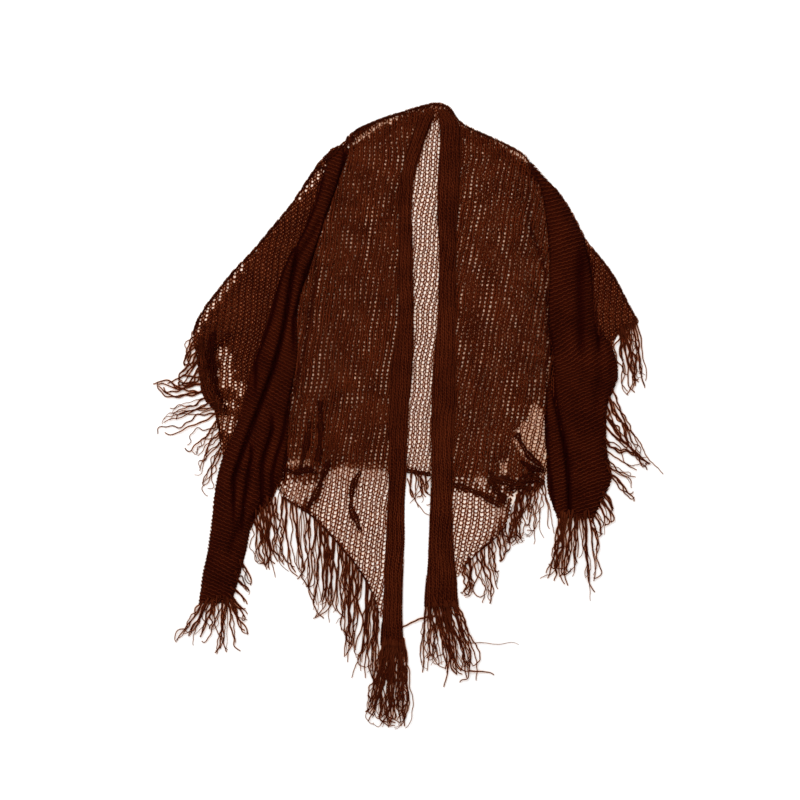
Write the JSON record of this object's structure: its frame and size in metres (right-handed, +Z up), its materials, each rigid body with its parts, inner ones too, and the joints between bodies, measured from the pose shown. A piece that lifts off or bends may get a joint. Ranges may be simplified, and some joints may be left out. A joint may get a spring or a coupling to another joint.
{
  "type": "knitted fringed shawl",
  "caption": "Loosely knitted dark brown triangular shawl with a long fringe, laid out flat with its fronts lying open over its back",
  "frame": {"origin": "on the surface that the shawl lies on, under the middle of its outline with the fringe", "axes": "+Z up from that surface, +Y from the tips of the fringe to the neck, +X across the shawl towards the side with the ridged pleats"},
  "size_m": [0.8532, 1.074, 0.0171],
  "materials": {
    "knit": "loose plain knit of soft dark brown yarn, matt",
    "fringe_yarn": "loose ends of the same soft yarn, matt"
  },
  "bodies": {
    "root": {"back": "knit", "wing_left": "knit", "wing_right": "knit", "front_left": "knit", "front_right": "knit", "edge_roll_left": "knit", "edge_roll_right": "knit", "pleats_left": "knit", "pleats_right": "knit", "fringe_back": "fringe_yarn", "fringe_front_left": "fringe_yarn", "fringe_front_right": "fringe_yarn", "fringe_pleats_left": "fringe_yarn", "fringe_pleats_right": "fringe_yarn", "fringe_side_left": "fringe_yarn", "fringe_side_right": "fringe_yarn", "fringe_tip_left": "fringe_yarn", "fringe_tip_right": "fringe_yarn", "fringe_wing_left": "fringe_yarn", "fringe_wing_right": "fringe_yarn"}
  },
  "joints": []
}
